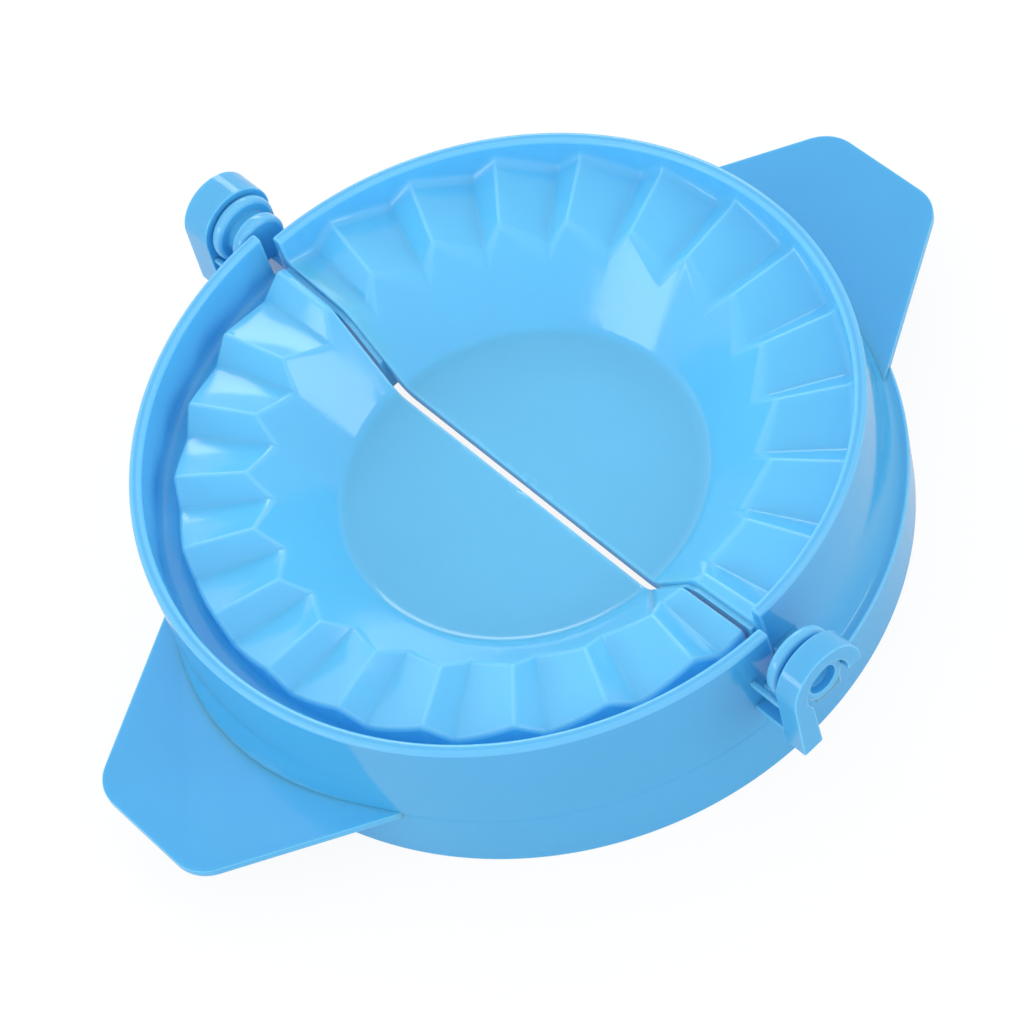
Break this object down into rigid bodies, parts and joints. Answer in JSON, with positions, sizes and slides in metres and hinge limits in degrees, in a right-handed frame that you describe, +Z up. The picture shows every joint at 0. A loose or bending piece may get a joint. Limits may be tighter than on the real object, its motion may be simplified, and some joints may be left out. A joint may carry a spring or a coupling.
{
  "type": "dumpling press",
  "caption": "Fold-over dumpling press lying open: hinged half bowls with pleating teeth, nesting rims and finger wings, moulded in sky-blue plastic.",
  "frame": {"origin": "on the base plane, under the middle of the hinge line", "axes": "+X along the hinge line, +Y from the front half (outer rim and hooks) to the back half (inner rim and pins), +Z up out of the open bowl"},
  "size_m": [0.105, 0.1184, 0.0245],
  "materials": {
    "front_plastic": "smooth semi-gloss moulded polypropylene, sky blue, a little translucent",
    "back_plastic": "smooth semi-gloss moulded polypropylene, sky blue, a little translucent"
  },
  "bodies": {
    "front_half": {"front_half": "front_plastic"},
    "back_half": {"back_half": "back_plastic"}
  },
  "joints": [
    {"name": "fold", "type": "hinge", "parent": "front_half", "child": "back_half", "pos_m": [0, 0, 0.01965], "axis": [1, 0, 0], "range_deg": [0, 180]}
  ]
}
